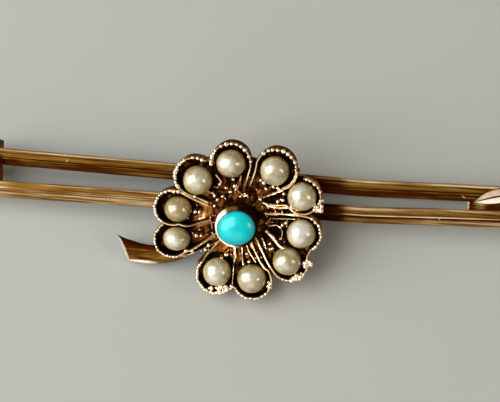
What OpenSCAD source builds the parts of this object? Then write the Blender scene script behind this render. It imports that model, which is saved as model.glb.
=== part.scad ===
// Bar brooch: a scalloped flower of ten pearl cups round a cabochon, on two ridged bars.
// Sizes are millimetres. The brooch is drawn face up and level, with its bars along X and
// the bars' backs at height 0. It is then rolled forward and set down as it lies by itself:
// on the hinge, on the catch and on the flower's lower edge.

/* [Bars] */
// Length of the bars to the left of the flower's centre
bar_left = 24.2; // [20:0.1:32]
// Length of the bars to the right of the flower's centre
bar_right = 23.8; // [20:0.1:32]
// Width of a bar across both flanges
bar_w = 1.32; // [0.9:0.02:1.7]
// Thickness of a flange at its edge
flange_t = 0.42; // [0.3:0.02:0.8]
// Rise of a flange from its edge to the foot of the ridge
flange_rise = 0.16; // [0.05:0.01:0.4]
// Width of the ridge along the middle of a bar
ridge_w = 0.2; // [0.12:0.01:0.4]
// Height of that ridge above the flanges
ridge_h = 0.26; // [0.1:0.02:0.5]
// Distance between the two bars' centre lines at their left ends
spread_left = 2.86; // [2.2:0.02:3.6]
// Distance between the two bars' centre lines at their right ends
spread_right = 1.98; // [1.9:0.02:3.6]
// Distance from the flower's centre to the slight bend in the right arms
bend_x = 7.6; // [4:0.1:12]
// Turn of the right arms at that bend, in degrees
bend_turn = 2.5; // [0:0.1:5]

/* [Flower] */
// Distance of the flower's centre below the middle line of the bars
flower_drop = 1.85; // [1:0.05:2.4]
// Height of the flower's back above the bars' backs
flower_back = 1.5; // [1:0.05:2.5]
// Thickness of the flower from its back to its rims
flower_t = 1.6; // [1.4:0.05:2.2]
// Usual distance from the flower's centre to the centre of a lobe
lobe_reach = 5.3; // [4.8:0.05:6.5]
// Usual outer radius of a lobe
lobe_r = 1.65; // [1.5:0.01:1.9]
// Radius of the plate that joins the lobes
disc_r = 5.3; // [4.6:0.05:6]
// Thickness of a lobe's rim
rim_t = 0.18; // [0.1:0.01:0.25]
// Thickness of the walls between neighbouring cups
web_t = 0.14; // [0.08:0.01:0.2]
// How far those walls dip from the rims to the collet
web_drop = 0.8; // [0.2:0.05:1]
// Distance from the centre at which the walls reach the height of the rims
web_flat = 4.6; // [3:0.1:5.2]
// Thickness of the floor under the cups
floor_t = 0.2; // [0.1:0.02:0.4]
// Height of a cup's centre above the rims
cup_lift = 0.1; // [0:0.02:0.4]
// Radius of a cup's channel where it starts at the collet
channel_r = 0.35; // [0.2:0.01:0.5]
// Direction of the cleft where the stem comes out, in degrees
cleft_turn = 224; // [215:0.5:230]
// Angle between the cleft's two sides, in degrees
cleft_open = 12; // [4:0.5:20]
// Distance from the flower's centre to the cleft's inner end
cleft_reach = 3.5; // [2.8:0.05:5]
// Radius of the round post that joins the flower to both bars
post_r = 2.2; // [2:0.05:3]

/* [Pearls and cabochon] */
// Usual radius of a pearl
pearl_r = 1.18; // [1:0.01:1.22]
// Depth of a pearl's middle below the rims
pearl_sink = 0.1; // [0:0.02:0.2]
// Gap between a pearl and its seat
pearl_gap = 0.04; // [0.02:0.01:0.06]
// Radius of the cabochon
stone_r = 1.56; // [1.3:0.01:1.65]
// Height of the cabochon's dome above its girdle
stone_dome = 0.86; // [0.4:0.02:1.2]
// Height of the cabochon's straight girdle
girdle_h = 0.3; // [0.1:0.02:0.5]
// Thickness of the collet's wall round the cabochon
collet_t = 0.2; // [0.1:0.01:0.3]
// Height of the collet's top above the rims
collet_rise = 1.35; // [0.4:0.05:1.8]
// How much narrower the collet is at its foot
collet_draft = 0.2; // [0:0.01:0.3]
// Gap between the cabochon and its collet
stone_gap = 0.03; // [0.02:0.01:0.08]

/* [Stem] */
// Radius of the stem's outer curve
stem_r = 7.2; // [6:0.1:9]
// Width of the stem at its cut end
stem_end_w = 1.7; // [1.2:0.05:2.2]
// Width of the stem where it leaves the flower
stem_root_w = 1.1; // [0.8:0.05:1.6]
// Thickness of the stem
stem_t = 0.75; // [0.5:0.05:1]
// Turn of the stem's curve from the cut end to the flower, in degrees
stem_sweep = 56; // [40:1:70]
// Slant of the cut end against the stem's thickness, in degrees
stem_cut = 30; // [0:1:60]

/* [End leaves] */
// Length of a leaf from point to point
leaf_l = 4.2; // [3:0.1:5]
// Width of a leaf at its middle
leaf_w = 1.3; // [0.8:0.05:1.8]
// Height of a leaf's back ridge above its edges
leaf_rise = 0.5; // [0.2:0.05:0.8]
// Thickness of a leaf at its edges
leaf_edge = 0.2; // [0.1:0.02:0.4]
// Width of the groove along a leaf's midrib
midrib_w = 0.14; // [0.08:0.01:0.3]
// Distance from the flower's centre to the inner point of the right leaf
leaf_right = 19.05; // [15:0.05:26]
// Distance from the flower's centre to the inner point of the left leaf
leaf_left = 19.9; // [15:0.05:26]
// Slant of a leaf across its bar, in degrees
leaf_turn = 12; // [0:1:20]
// Distance of a leaf's inner point below its bar's centre line
leaf_drop = 0.45; // [0:0.05:0.6]

/* [Pin, hinge and catch] */
// Distance from the flower's centre to the hinge
hinge_x = 21.4; // [17:0.1:30]
// Offset of the hinge and the catch above the bars' middle line
pin_y = 0.45; // [0:0.05:0.8]
// Depth of the hinge's centre below the bars' backs
hinge_depth = 1.9; // [1.4:0.05:3]
// Radius of the hinge's knuckles
hinge_r = 0.75; // [0.5:0.05:1]
// Length of the whole hinge across the brooch
hinge_l = 3.3; // [2.4:0.1:4]
// Length of the pin's own knuckle
knuckle_l = 1.2; // [0.8:0.1:1.6]
// Radius of the rivet that the pin turns on
rivet_r = 0.26; // [0.15:0.01:0.35]
// Gap round the rivet and beside the knuckle
hinge_gap = 0.04; // [0.03:0.01:0.08]
// Radius of the pin
pin_r = 0.3; // [0.2:0.01:0.4]
// Length of the pin's sharp point
pin_tip = 2.4; // [1:0.1:4]
// How far the pin reaches past the middle of its catch
pin_past = 1.6; // [0.8:0.1:2.4]
// Distance from the flower's centre to the middle of the catch
catch_x = 20; // [16:0.1:28]
// Outer radius of the catch's hook
catch_r = 0.75; // [0.6:0.05:1]
// Thickness of the catch's strip
catch_t = 0.28; // [0.15:0.01:0.3]
// Width of the catch's strip
catch_w = 1.4; // [0.8:0.1:2.4]
// Thickness of the plates under the bars' ends
plate_t = 0.25; // [0.15:0.01:0.5]
// Length of those plates along the bars
plate_l = 3.2; // [2:0.1:5]
// Distance from the flower's centre to the right plate's inner edge
plate_right = 18.55; // [15:0.05:26]
// Distance from the flower's centre to the left plate's inner edge
plate_left = 20.4; // [15:0.05:26]

/* [Hidden] */
$fn = 96;

gold = [0.80, 0.60, 0.36];
pearl_cream = [0.86, 0.84, 0.76];
turquoise_blue = [0.10, 0.72, 0.76];

// One row for each lobe, in order round the flower from the cleft. Columns: the lobe's
// direction in degrees, the lobe's reach as a share of lobe_reach, its radius as a share
// of lobe_r, its pearl's reach as a share of lobe_reach, the pearl's radius as a share of
// pearl_r.
LOBES = [
    [251.0, 0.93, 1.03, 0.88, 1.00],
    [286.0, 0.96, 1.02, 0.93, 1.02],
    [324.5, 1.01, 0.99, 0.97, 1.00],
    [354.0, 1.01, 0.97, 0.99, 1.02],
    [387.0, 1.085, 0.97, 1.08, 1.00],
    [419.0, 1.04, 1.07, 1.01, 1.03],
    [460.0, 0.955, 1.04, 0.94, 1.02],
    [497.0, 0.985, 1.03, 0.91, 1.01],
    [532.0, 1.05, 0.95, 0.96, 0.98],
    [560.0, 1.085, 0.95, 1.01, 0.96]
];
last_lobe = len(LOBES) - 1;

// Overlap by which soldered pieces run into each other
lap = 0.1;
// A length that reaches past everything it cuts
past = bar_left;

// Heights of the bars, of the flower and of the collet
bar_top = flange_t + flange_rise + ridge_h;
flower_top = flower_back + flower_t;
cup_floor = flower_back + floor_t;
collet_r = stone_r + stone_gap + collet_t;
collet_top = flower_top + collet_rise;
stone_base = collet_top - girdle_h;

// How far round the flower from the cleft the stem's curve ends, and how much further the
// curve runs on out of sight under the flower, in degrees
stem_heading = 89;
stem_hidden = 16;
// Turn of the stem's cut end on the page, in degrees
cut_turn = 43;
// Place where the stem's outer edge leaves the flower, as a share of lobe_reach
stem_share = 0.755;
// Radius of a channel where it meets its cup, as a share of the cup's radius
channel_share = 0.8;
// Radius left at the pin's very point
point_r = 0.03;

// Places of the lobes and pearls, from the flower's centre
function turned(reach, angle) = [reach * cos(angle), reach * sin(angle)];
function lobe_at(row) = turned(lobe_reach * row[1], row[0]);
function lobe_size(row) = lobe_r * row[2];
function pearl_at(row) = turned(lobe_reach * row[3], row[0]);
function pearl_size(row) = pearl_r * row[4];

// Directions of the two walls of a lobe's channel, and how far each wall stands in
function side_before(i) = i == 0
    ? cleft_turn + cleft_open / 2
    : (LOBES[i - 1][0] + LOBES[i][0]) / 2;
function side_after(i) = i == last_lobe
    ? cleft_turn - cleft_open / 2 + 360
    : (LOBES[i][0] + LOBES[i + 1][0]) / 2;
function wall_before(i) = i == 0 ? web_t : web_t / 2;
function wall_after(i) = i == last_lobe ? web_t : web_t / 2;

// Centre lines of the bars: they close in from left to right and bend past the flower
function spread_at(x) = spread_left
    + (spread_right - spread_left) * (x + bar_left) / (bar_left + bar_right);
function middle_at(x) = x < bend_x ? 0 : (x - bend_x) * tan(bend_turn);
function bar_y(x, side) = middle_at(x) + side * spread_at(x) / 2;

// The roll that brings the hinge's lower corner and the flower's lower edge to one height
hinge_z = -hinge_depth;
foot_y = pin_y - hinge_l / 2;
foot_z = hinge_z - hinge_r;
edge_y = min([for (row = LOBES) lobe_at(row)[1] - lobe_size(row)]) - flower_drop;
roll = atan2(flower_back - foot_z, foot_y - edge_y);
low = foot_y * sin(roll) + foot_z * cos(roll);
// The catch hangs as low as the hinge does once the brooch is rolled
catch_z = (low + catch_r - pin_y * sin(roll)) / cos(roll);

// The rolled brooch's reach to the front and the back, which centres it on the origin
function rolled_y(y, z) = y * cos(roll) - z * sin(roll);
front = rolled_y(edge_y, flower_top);
lobes_back = max([for (row = LOBES)
    rolled_y(lobe_at(row)[1] + lobe_size(row) - flower_drop, flower_back)]);
hinge_back = rolled_y(pin_y + hinge_l / 2, foot_z);
back = max(lobes_back, hinge_back);

// Rolls the level brooch forward and sets it down with its box centred on the origin
module laid() {
    translate([(bar_left - bar_right) / 2, -(front + back) / 2, -low])
        rotate([roll, 0, 0])
            children();
}

module at_flower() {
    translate([0, -flower_drop, 0])
        children();
}

// Section of a bar: two sloping flanges with a knife-edge ridge between them
module bar_section() {
    foot = flange_t + flange_rise;
    polygon([
        [-bar_w / 2, 0],
        [bar_w / 2, 0],
        [bar_w / 2, flange_t],
        [ridge_w / 2, foot],
        [ridge_w / 4, bar_top],
        [-ridge_w / 4, bar_top],
        [-ridge_w / 2, foot],
        [-bar_w / 2, flange_t]
    ]);
}

// A straight run of bar from one point to another
module bar_run(from, to) {
    reach = to - from;
    translate([from[0], from[1], 0])
        rotate([0, 0, atan2(reach[1], reach[0])])
            rotate([90, 0, 90])
                linear_extrude(norm(reach))
                    bar_section();
}

// One bar: side is 1 for the upper bar and -1 for the lower bar
module bar(side) {
    color(gold) {
        bar_run([-bar_left, bar_y(-bar_left, side)], [bend_x + lap, bar_y(bend_x, side)]);
        bar_run([bend_x, bar_y(bend_x, side)], [bar_right, bar_y(bar_right, side)]);
    }
}

// Flat plate soldered under both bars between two distances along them
module end_plate(from_x, to_x) {
    color(gold)
        translate([0, 0, -plate_t])
            linear_extrude(plate_t + lap)
                polygon([
                    [from_x, bar_y(from_x, -1)],
                    [to_x, bar_y(to_x, -1)],
                    [to_x, bar_y(to_x, 1)],
                    [from_x, bar_y(from_x, 1)]
                ]);
}

// Outline of the flower: the lobes and the plate that joins them, open at the cleft
module flower_outline() {
    for (row = LOBES)
        translate(lobe_at(row))
            circle(r = lobe_size(row));
    difference() {
        circle(r = disc_r);
        cleft_outline();
    }
}

// The open cleft between the first and the last lobe
module cleft_outline() {
    one = cleft_turn - cleft_open / 2;
    two = cleft_turn + cleft_open / 2;
    polygon([
        turned(cleft_reach, one),
        turned(past, one),
        turned(past, two),
        turned(cleft_reach, two)
    ]);
}

// The dip of the walls between the cups towards the collet
module web_dip() {
    slope = web_drop / (web_flat - collet_r);
    translate([0, 0, flower_top - web_drop])
        cylinder(h = past * slope, r1 = collet_r, r2 = collet_r + past);
}

// Space that belongs to one lobe, between the walls beside it and above its floor
module sector(i) {
    one = side_before(i);
    two = side_after(i);
    inner = collet_r - collet_draft - channel_r;
    inset_one = turned(wall_before(i), one + 90);
    inset_two = turned(wall_after(i), two - 90);
    translate([0, 0, cup_floor])
        linear_extrude(past)
            polygon([
                turned(inner, one) + inset_one,
                turned(past, one) + inset_one,
                turned(past, two) + inset_two,
                turned(inner, two) + inset_two
            ]);
}

// Round cup under one pearl, with a tapered channel that runs in to the collet
module cup(i) {
    row = LOBES[i];
    cup_r = lobe_size(row) - rim_t;
    start = collet_r - collet_draft;
    run = lobe_reach * row[1] - start;
    climb = web_drop + cup_lift - channel_r / 2;
    intersection() {
        union() {
            translate([lobe_at(row)[0], lobe_at(row)[1], flower_top + cup_lift])
                sphere(r = cup_r);
            rotate([0, 0, row[0]])
                translate([start, 0, flower_top + cup_lift - climb])
                    rotate([0, atan2(run, climb), 0])
                        cylinder(h = norm([run, climb]), r1 = channel_r, r2 = channel_share * cup_r);
        }
        sector(i);
    }
}

// Round seat that one pearl drops into
module seat(row) {
    seat_r = pearl_size(row) + pearl_gap;
    translate([pearl_at(row)[0], pearl_at(row)[1], flower_top - pearl_sink - seat_r])
        cylinder(h = past, r = seat_r);
}

// The flower's plate with all its cups sunk in it, but with level walls between them
module cupped_plate() {
    difference() {
        translate([0, 0, flower_back])
            linear_extrude(flower_t)
                flower_outline();
        for (i = [0 : last_lobe])
            cup(i);
    }
}

// The whole flower: scalloped, with a cup and a seat for each pearl
module flower() {
    color(gold)
        at_flower()
            difference() {
                difference() {
                    cupped_plate();
                    web_dip();
                }
                for (row = LOBES)
                    seat(row);
            }
}

// Round post between the bars and the flower's back
module post() {
    color(gold)
        translate([0, 0, flange_t / 2])
            cylinder(h = flower_back + lap - flange_t / 2, r = post_r);
}

// Collet that holds the cabochon
module collet() {
    color(gold)
        at_flower()
            difference() {
                translate([0, 0, cup_floor - lap])
                    cylinder(h = collet_top - cup_floor + lap, r1 = collet_r - collet_draft,
                        r2 = collet_r);
                translate([0, 0, stone_base - stone_gap])
                    cylinder(h = past, r = stone_r + stone_gap);
            }
}

// Curved, tapered stem with a slanting cut end
module stem() {
    to = cleft_turn + stem_heading;
    from = to - stem_sweep;
    mean_turn = (from + to) / 2;
    taper = (stem_end_w - stem_root_w) / (2 * sin(stem_sweep / 2));
    centre = turned(lobe_reach * stem_share, cleft_turn) - turned(stem_r, to);
    inner_r = stem_r - (stem_end_w + stem_root_w) / 2;
    color(gold)
        at_flower()
            translate([centre[0], centre[1], flower_back + lap - stem_t])
                difference() {
                    intersection() {
                        cylinder(h = stem_t, r = stem_r);
                        translate([0, 0, -lap])
                            linear_extrude(stem_t + 2 * lap)
                                polygon([
                                    [0, 0],
                                    turned(2 * stem_r, from - stem_hidden),
                                    turned(2 * stem_r, mean_turn),
                                    turned(2 * stem_r, to + stem_hidden)
                                ]);
                    }
                    translate(concat(turned(taper, mean_turn + 90), -lap))
                        cylinder(h = stem_t + 2 * lap, r = inner_r);
                    rotate([0, 0, from])
                        translate([stem_r - stem_end_w / 2, 0, stem_t])
                            rotate([0, 0, cut_turn])
                                rotate([-stem_cut, 0, 0])
                                    translate([-past / 2, -past, -past / 2])
                                        cube([past, past, past]);
                }
}

// Outline of a leaf: two arcs that meet in a point at each end
module leaf_outline() {
    arc_r = (pow(leaf_l / 2, 2) + pow(leaf_w / 2, 2)) / leaf_w;
    intersection_for (side = [-1, 1])
        translate([leaf_l / 2, side * (arc_r - leaf_w / 2)])
            circle(r = arc_r);
}

// Leaf that lies slanting over the upper bar, with its inner point at the origin
module leaf() {
    difference() {
        intersection() {
            linear_extrude(leaf_edge + leaf_rise + lap)
                leaf_outline();
            translate([-lap, 0, 0])
                rotate([90, 0, 90])
                    linear_extrude(leaf_l + 2 * lap)
                        polygon([
                            [-leaf_w / 2 - lap, 0],
                            [leaf_w / 2 + lap, 0],
                            [leaf_w / 2 + lap, leaf_edge],
                            [0, leaf_edge + leaf_rise],
                            [-leaf_w / 2 - lap, leaf_edge]
                        ]);
        }
        translate([0, 0, leaf_edge + leaf_rise])
            rotate([45, 0, 0])
                translate([-lap, -midrib_w / 2, -midrib_w / 2])
                    cube([leaf_l + 2 * lap, midrib_w, midrib_w]);
    }
}

module end_leaves() {
    color(gold) {
        translate([leaf_right, bar_y(leaf_right, 1) - leaf_drop, bar_top - lap])
            rotate([0, 0, bend_turn + leaf_turn])
                leaf();
        translate([-leaf_left, bar_y(-leaf_left, 1) - leaf_drop, bar_top - lap])
            mirror([1, 0, 0])
                rotate([0, 0, leaf_turn])
                    leaf();
    }
}

// Two fixed knuckles of the hinge, each on a lug that hangs from the left plate
module hinge_lugs() {
    lug_l = (hinge_l - knuckle_l) / 2 - hinge_gap;
    color(gold)
        translate([-hinge_x, pin_y, hinge_z])
            for (side = [-1, 1])
                translate([0, side * (hinge_l - lug_l) / 2, 0])
                    difference() {
                        union() {
                            rotate([90, 0, 0])
                                cylinder(h = lug_l, r = hinge_r, center = true);
                            translate([-hinge_r, -lug_l / 2, 0])
                                cube([2 * hinge_r, lug_l, hinge_depth - plate_t + lap]);
                        }
                        rotate([90, 0, 0])
                            cylinder(h = past, r = rivet_r + hinge_gap, center = true);
                    }
}

// Hooked strip that hangs from the right plate and holds the pin's free end
module catch() {
    color(gold)
        translate([catch_x, pin_y, catch_z])
            rotate([90, 0, 90])
                linear_extrude(catch_w, center = true) {
                    difference() {
                        circle(r = catch_r);
                        circle(r = catch_r - catch_t);
                        translate([catch_t - catch_r, catch_t / 2])
                            square(past);
                    }
                    translate([-catch_r, 0])
                        square([catch_t, -catch_z - plate_t + lap]);
                }
}

// All the gold that is soldered into one piece
module gold_frame() {
    laid()
        union() {
            bar(1);
            bar(-1);
            end_plate(plate_right, plate_right + plate_l);
            end_plate(-plate_left - plate_l, -plate_left);
            post();
            flower();
            collet();
            stem();
            end_leaves();
            hinge_lugs();
            catch();
        }
}

// The pin with its knuckle and rivet, in one piece, closed in its catch
module pin() {
    run = catch_x + hinge_x;
    drop = catch_z - hinge_z;
    reach = norm([run, drop]) + pin_past;
    color(gold)
        laid()
            translate([-hinge_x, pin_y, hinge_z]) {
                rotate([90, 0, 0])
                    cylinder(h = knuckle_l, r = hinge_r, center = true);
                rotate([90, 0, 0])
                    cylinder(h = hinge_l, r = rivet_r, center = true);
                rotate([0, atan2(run, drop), 0]) {
                    cylinder(h = reach - pin_tip, r = pin_r);
                    translate([0, 0, reach - pin_tip])
                        cylinder(h = pin_tip, r1 = pin_r, r2 = point_r);
                }
            }
}

// Domed stone without facets
module cabochon() {
    dome_r = (pow(stone_r, 2) + pow(stone_dome, 2)) / (2 * stone_dome);
    color(turquoise_blue)
        laid()
            at_flower()
                translate([0, 0, stone_base])
                    intersection() {
                        cylinder(h = girdle_h + stone_dome + lap, r = stone_r);
                        translate([0, 0, girdle_h + stone_dome - dome_r])
                            sphere(r = dome_r);
                    }
}

module pearl(i) {
    row = LOBES[i];
    color(pearl_cream)
        laid()
            at_flower()
                translate([pearl_at(row)[0], pearl_at(row)[1], flower_top - pearl_sink])
                    sphere(r = pearl_size(row));
}

gold_frame();
pin();
cabochon();
for (i = [0 : last_lobe])
    pearl(i);
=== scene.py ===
# %% [markdown]
# # A bar brooch with a pearl flower
# Two ridged gold bars carry a scalloped flower. Ten seed pearls sit in its cups, and a
# blue-green cabochon stands in a collet at its middle. The imported model gives the places
# and the sizes. This script dresses it: worn gold with painted light and shade, pearls,
# beaded rims and engraved lines.

# %% Load the imported brooch
import math
import random

import bmesh
import bpy
from mathutils import Matrix, Vector, noise


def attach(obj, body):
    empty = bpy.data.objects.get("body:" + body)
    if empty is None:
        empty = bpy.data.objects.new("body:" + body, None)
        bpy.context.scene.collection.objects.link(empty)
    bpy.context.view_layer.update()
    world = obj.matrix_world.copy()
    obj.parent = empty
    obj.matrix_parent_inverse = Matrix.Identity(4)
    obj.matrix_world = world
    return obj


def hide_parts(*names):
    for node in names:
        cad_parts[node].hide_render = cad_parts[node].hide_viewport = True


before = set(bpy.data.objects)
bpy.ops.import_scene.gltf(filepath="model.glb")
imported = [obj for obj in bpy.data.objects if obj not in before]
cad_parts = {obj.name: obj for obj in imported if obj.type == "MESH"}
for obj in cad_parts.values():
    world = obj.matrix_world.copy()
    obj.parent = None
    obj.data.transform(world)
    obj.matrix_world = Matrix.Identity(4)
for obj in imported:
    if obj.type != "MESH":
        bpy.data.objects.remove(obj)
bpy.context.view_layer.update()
print("nodes:", ", ".join(sorted(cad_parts)))

# %% [markdown]
# ## The level brooch and the brooch as it lies
# A jeweller draws a brooch face up. This one lies rolled forward on its hinge, its catch
# and the flower's edge. Every piece is therefore modelled level, in millimetres, with its
# bars along X and the bars' backs at height 0. One matrix then lays the finished mesh down.

# %% The lay of the brooch
MM = 0.001
ROLL = math.radians(29.8766)
SETTLE = Vector((0.2, 2.69491, 2.89558)) * MM
TURN = Matrix.Rotation(ROLL, 4, "X")
LAID = Matrix.Translation(SETTLE) @ TURN @ Matrix.Scale(MM, 4)

BAR_LEFT, BAR_RIGHT = 24.2, 23.8
FLOWER = Vector((0, -1.85, 0))
FLOWER_BACK, FLOWER_TOP = 1.5, 3.1
COLLET_R, COLLET_TOP = 1.79, 4.45
STONE_R, STONE_BASE, STONE_DOME = 1.56, 4.15, 0.86
FLOOR_Z = 1.9


def turned(reach, degrees):
    """The point at that distance and direction from the origin."""
    return Vector((math.cos(math.radians(degrees)), math.sin(math.radians(degrees)), 0)) * reach


# %% [markdown]
# ## Metal
# Old gold is bright where hands and cloth rub it, and dark red-brown where dirt and tarnish
# stay. A mask of dirt and shade could be read from the shape by its pointiness, but that
# depends on the mesh's density. So each gold mesh carries an attribute named
# patina_and_shading, 0 on rubbed and on painted-lit metal and 1 deep in a recess. Besides
# tarnish it holds painted shade in recesses and under beads, painted shadows on the bars,
# painted light and shade on the collet, stem, leaves and plates, and a few painted
# highlights. A node group turns it, with some noise, into the mask that every gold finish
# uses. Helpers for groups, nodes and links come first.

# %% Helpers for shader trees
def new_group(name, inputs, outputs):
    """An empty shader group. Inputs are (name, type, default), outputs are (name, type)."""
    group = bpy.data.node_groups.new(name, "ShaderNodeTree")
    for label, kind, value in inputs:
        socket = group.interface.new_socket(label, in_out="INPUT", socket_type=kind)
        socket.default_value = value
    for label, kind in outputs:
        group.interface.new_socket(label, in_out="OUTPUT", socket_type=kind)
    return group, group.nodes.new("NodeGroupInput"), group.nodes.new("NodeGroupOutput")


def node(tree, kind, **settings):
    """A new node with its properties, or its inputs by number or name, set at once."""
    made = tree.nodes.new(kind)
    for key, value in settings.items():
        if key.startswith("in_"):
            label = key[3:]
            made.inputs[int(label) if label.isdigit() else label].default_value = value
        else:
            setattr(made, key, value)
    return made


def join(tree, *links):
    """Links sockets, each link given as (node, output, node, input)."""
    for source, output, target, into in links:
        tree.links.new(source.outputs[output], target.inputs[into])


# %% The mask group for tarnish and painted shade
shaded_and_worn, shaded_and_worn_in, shaded_and_worn_out = new_group(
    "shaded_and_worn_gold",
    [("Patina and shading", "NodeSocketFloat", 0.0), ("Spread", "NodeSocketFloat", 0.25),
     ("Grain", "NodeSocketFloat", 900.0), ("Stretch", "NodeSocketVector", (1.0, 1.0, 1.0))],
    [("Mask", "NodeSocketFloat"), ("Mottle", "NodeSocketFloat"), ("Height", "NodeSocketFloat")],
)
place = node(shaded_and_worn, "ShaderNodeTexCoord")
drawn = node(shaded_and_worn, "ShaderNodeVectorMath", operation="MULTIPLY")
patches = node(shaded_and_worn, "ShaderNodeTexNoise", in_Detail=4.0, in_Roughness=0.6)
fine = node(shaded_and_worn, "ShaderNodeTexNoise", in_Scale=3500.0, in_Detail=5.0, in_Roughness=0.65)
shift = node(shaded_and_worn, "ShaderNodeMath", operation="SUBTRACT", in_1=0.5)
spread = node(shaded_and_worn, "ShaderNodeMath", operation="MULTIPLY")
total = node(shaded_and_worn, "ShaderNodeMath", operation="ADD", use_clamp=True)
join(shaded_and_worn, (place, "Object", drawn, 0), (shaded_and_worn_in, "Stretch", drawn, 1),
     (drawn, "Vector", patches, "Vector"), (drawn, "Vector", fine, "Vector"),
     (shaded_and_worn_in, "Grain", patches, "Scale"), (patches, "Fac", shift, 0), (shift, 0, spread, 0),
     (shaded_and_worn_in, "Spread", spread, 1), (spread, 0, total, 0), (shaded_and_worn_in, "Patina and shading", total, 1),
     (total, 0, shaded_and_worn_out, "Mask"), (patches, "Fac", shaded_and_worn_out, "Mottle"),
     (fine, "Fac", shaded_and_worn_out, "Height"))
print("patina group:", len(shaded_and_worn.nodes), "nodes")

# %% [markdown]
# ## Gold finishes
# One gold shows three tones on this brooch: rubbed, dulled and blackened. The same tones
# paint light and shade too: the bright one for painted highlights and lit sides, the dark
# one for painted shade. They could be three materials on separate faces, but real wear has no
# borders. So a colour ramp driven by the mask goes from one to the next, and the same mask
# makes the dark parts rough, dirty parts and painted shade alike.

# %% A worn gold
SATIN_ROUGHNESS, GOLD_RELIEF, EDGE_TINT = 0.4, 0.00006, (0.75, 0.55, 0.4, 1.0)


def ramp(tree, stops):
    """A colour ramp with its stops given as (place, colour)."""
    made = tree.nodes.new("ShaderNodeValToRGB")
    points = made.color_ramp.elements
    while len(points) < len(stops):
        points.new(0.5)
    for point, (at, colour) in zip(points, stops):
        point.position = at
        point.color = (*colour, 1.0)
    return made


def gold(name, bright, mid, dark, roughness, bump, spread_by, grain=1100.0, stretch=(1, 1, 1)):
    """Old gold with painted light and shade: bright where it is rubbed or painted as lit, dark
    where the mask is high, from tarnish and from painted shade, rougher where it is satin, and
    browner where it is seen edge on, which the specular tint sets. A stretch below 1 along an
    axis draws its mottling out into streaks that way."""
    made = bpy.data.materials.new(name)
    made.use_nodes = True
    tree = made.node_tree
    shader = tree.nodes["Principled BSDF"]
    mask = node(tree, "ShaderNodeGroup", node_tree=shaded_and_worn)
    mask.inputs["Spread"].default_value = spread_by
    mask.inputs["Grain"].default_value = grain
    mask.inputs["Stretch"].default_value = stretch
    patina_and_shading = node(tree, "ShaderNodeAttribute", attribute_name="patina_and_shading")
    satin = node(tree, "ShaderNodeAttribute", attribute_name="satin")
    tint = ramp(tree, [(0.0, bright), (0.45, mid), (1.0, dark)])
    dull = ramp(tree, [(0.0, (roughness,) * 3), (1.0, (min(roughness + 0.3, 1),) * 3)])
    rough = node(tree, "ShaderNodeMath", operation="MULTIPLY_ADD", in_1=SATIN_ROUGHNESS)
    relief = node(tree, "ShaderNodeBump", in_Strength=bump, in_Distance=GOLD_RELIEF)
    join(tree, (patina_and_shading, "Fac", mask, "Patina and shading"), (satin, "Fac", rough, 0),
         (dull, "Color", rough, 2), (mask, "Mask", tint, "Fac"), (mask, "Mask", dull, "Fac"),
         (tint, "Color", shader, "Base Color"), (rough, 0, shader, "Roughness"),
         (mask, "Height", relief, "Height"), (relief, "Normal", shader, "Normal"))
    shader.inputs["Metallic"].default_value = 1.0
    shader.inputs["Specular Tint"].default_value = EDGE_TINT
    return made


# %% The brooch's gold finishes
# The darkest colours serve for tarnish and for painted shade alike, the brightest for rubbed metal
# and for painted highlights.
PALE, WARM, SOOT_AND_SHADE = (1.0, 0.76, 0.45), (0.50, 0.19, 0.04), (0.022, 0.006, 0.002)
GLINT, COPPER = (1.0, 0.86, 0.64), (0.85, 0.46, 0.2)
TAN, CREAM = (0.62, 0.47, 0.30), (1.0, 0.92, 0.76)
OLIVE, RUST_AND_SHADE = (0.22, 0.11, 0.018), (0.05, 0.010, 0.001)
flower_gold = gold("flower_gold", PALE, WARM, SOOT_AND_SHADE, 0.26, bump=0.4, spread_by=0.6)
bead_gold = gold("bead_gold", GLINT, COPPER, SOOT_AND_SHADE, 0.24, bump=0.3, spread_by=0.4)
bar_gold = gold("bar_gold", TAN, OLIVE, RUST_AND_SHADE, 0.25, bump=0.6, spread_by=1.9,
                grain=5500.0, stretch=(0.03, 1, 1))
stem_gold = gold("stem_gold", CREAM, OLIVE, RUST_AND_SHADE, 0.25, bump=0.6, spread_by=2.2,
                 grain=4500.0, stretch=(0.07, 1, 1))
satin_gold = gold("satin_gold", CREAM, OLIVE, RUST_AND_SHADE, 0.3, bump=0.1, spread_by=0.3)
collet_gold = gold("collet_gold", CREAM, OLIVE, SOOT_AND_SHADE, 0.3, bump=0.3, spread_by=0.5)
print("gold finishes:", ", ".join(m.name for m in bpy.data.materials))

# %% [markdown]
# ## Pearls and turquoise
# A seed pearl is a soft sheen over an uneven cream body. Subsurface scattering would be
# nearer to nacre, but it is slow and hardly shows on beads of this size, so the finish is a
# slightly rough surface under a clear coat. The cabochon is opaque and polished, so the same
# recipe serves with other values.

# %% An opaque gem
COAT_ROUGHNESS, COAT_IOR, GEM_RELIEF = 0.18, 1.8, 0.00002


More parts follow.
